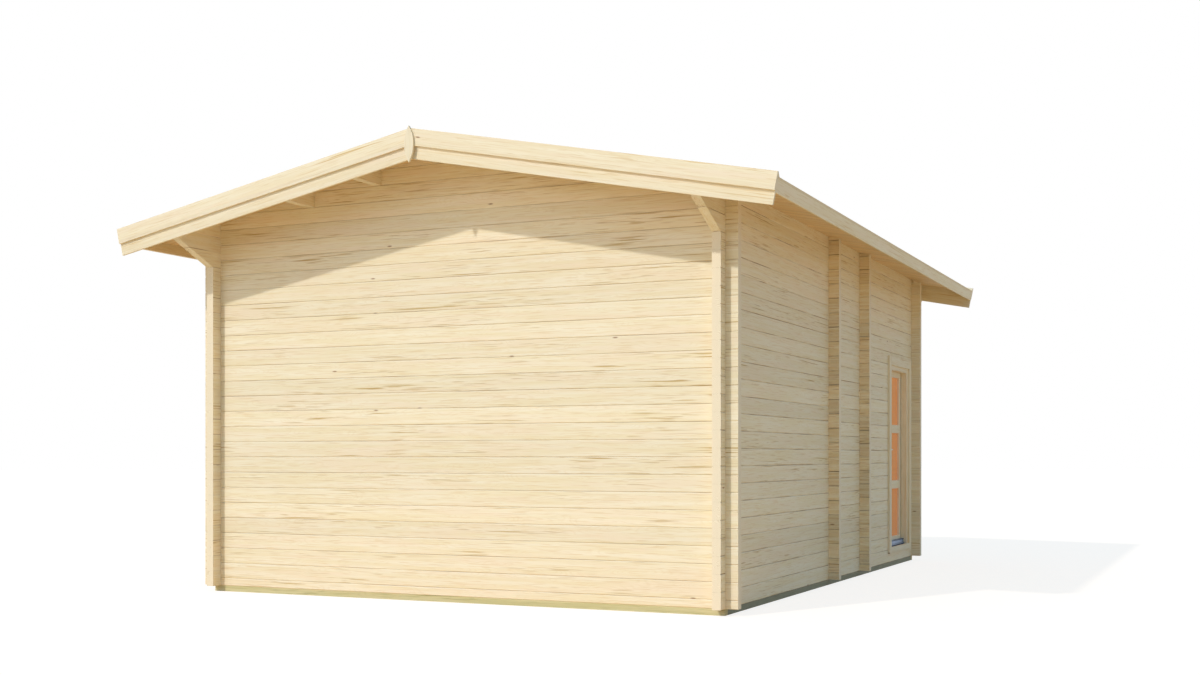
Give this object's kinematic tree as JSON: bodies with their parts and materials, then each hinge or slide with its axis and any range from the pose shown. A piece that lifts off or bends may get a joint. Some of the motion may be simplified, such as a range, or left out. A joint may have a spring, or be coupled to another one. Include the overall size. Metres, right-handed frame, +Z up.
{
  "type": "log cabin",
  "caption": "Log cabin with notched crossing corners, a low gable roof with wide overhangs, and a glazed door that opens inward.",
  "frame": {"origin": "on the ground, at the middle of the roof's plan", "axes": "+X towards the wall with the door, +Y along the ridge away from the front gable, +Z up"},
  "size_m": [5.9518, 7.532, 3.753],
  "materials": {
    "spruce_log": "planed spruce, untreated",
    "treated_timber": "pressure-treated, greenish",
    "spruce_board": "planed boards, untreated",
    "spruce_beam": "planed spruce, untreated",
    "planed_trim": "planed boards, untreated",
    "door_joinery": "planed pine, untreated",
    "clear_glass": "clear",
    "weather_bar_metal": "mill finish",
    "door_furniture": "brushed"
  },
  "bodies": {
    "cabin": {"front_wall": "spruce_log", "front_gable": "spruce_log", "back_wall": "spruce_log", "back_gable": "spruce_log", "left_wall": "spruce_log", "right_wall_under_door": "spruce_log", "right_wall_before_door": "spruce_log", "right_wall_after_door": "spruce_log", "right_wall_over_door": "spruce_log", "left_wall_log_stubs": "spruce_log", "right_wall_log_stubs": "spruce_log", "sill_beams_gables": "treated_timber", "sill_beams_sides": "treated_timber", "floor_joists": "treated_timber", "left_roof_deck": "spruce_board", "right_roof_deck": "spruce_board", "floor_deck": "spruce_board", "ridge_purlin": "spruce_beam", "left_purlins": "spruce_beam", "right_purlins": "spruce_beam", "left_fascia": "planed_trim", "right_fascia": "planed_trim", "front_upper_bargeboards": "planed_trim", "front_lower_bargeboards": "planed_trim", "front_edge_laths": "planed_trim", "front_finial": "planed_trim", "back_upper_bargeboards": "planed_trim", "back_lower_bargeboards": "planed_trim", "back_edge_laths": "planed_trim", "back_finial": "planed_trim", "door_outer_casing_sides": "planed_trim", "door_outer_casing_head_and_foot": "planed_trim", "door_inner_casing_sides": "planed_trim", "door_inner_casing_head": "planed_trim", "door_jambs": "door_joinery", "door_head": "door_joinery", "door_sill": "door_joinery", "door_weather_bar": "weather_bar_metal", "door_hinges_on_frame": "door_furniture"},
    "door": {"door_stiles": "door_joinery", "door_rails": "door_joinery", "door_glass": "clear_glass", "door_handle": "door_furniture", "door_hinges_on_leaf": "door_furniture"}
  },
  "joints": [
    {"name": "door_hinge", "type": "hinge", "parent": "cabin", "child": "door", "pos_m": [2.273, 2.88, 1.2], "axis": [0, 0, -1], "range_deg": [0, 90]}
  ]
}
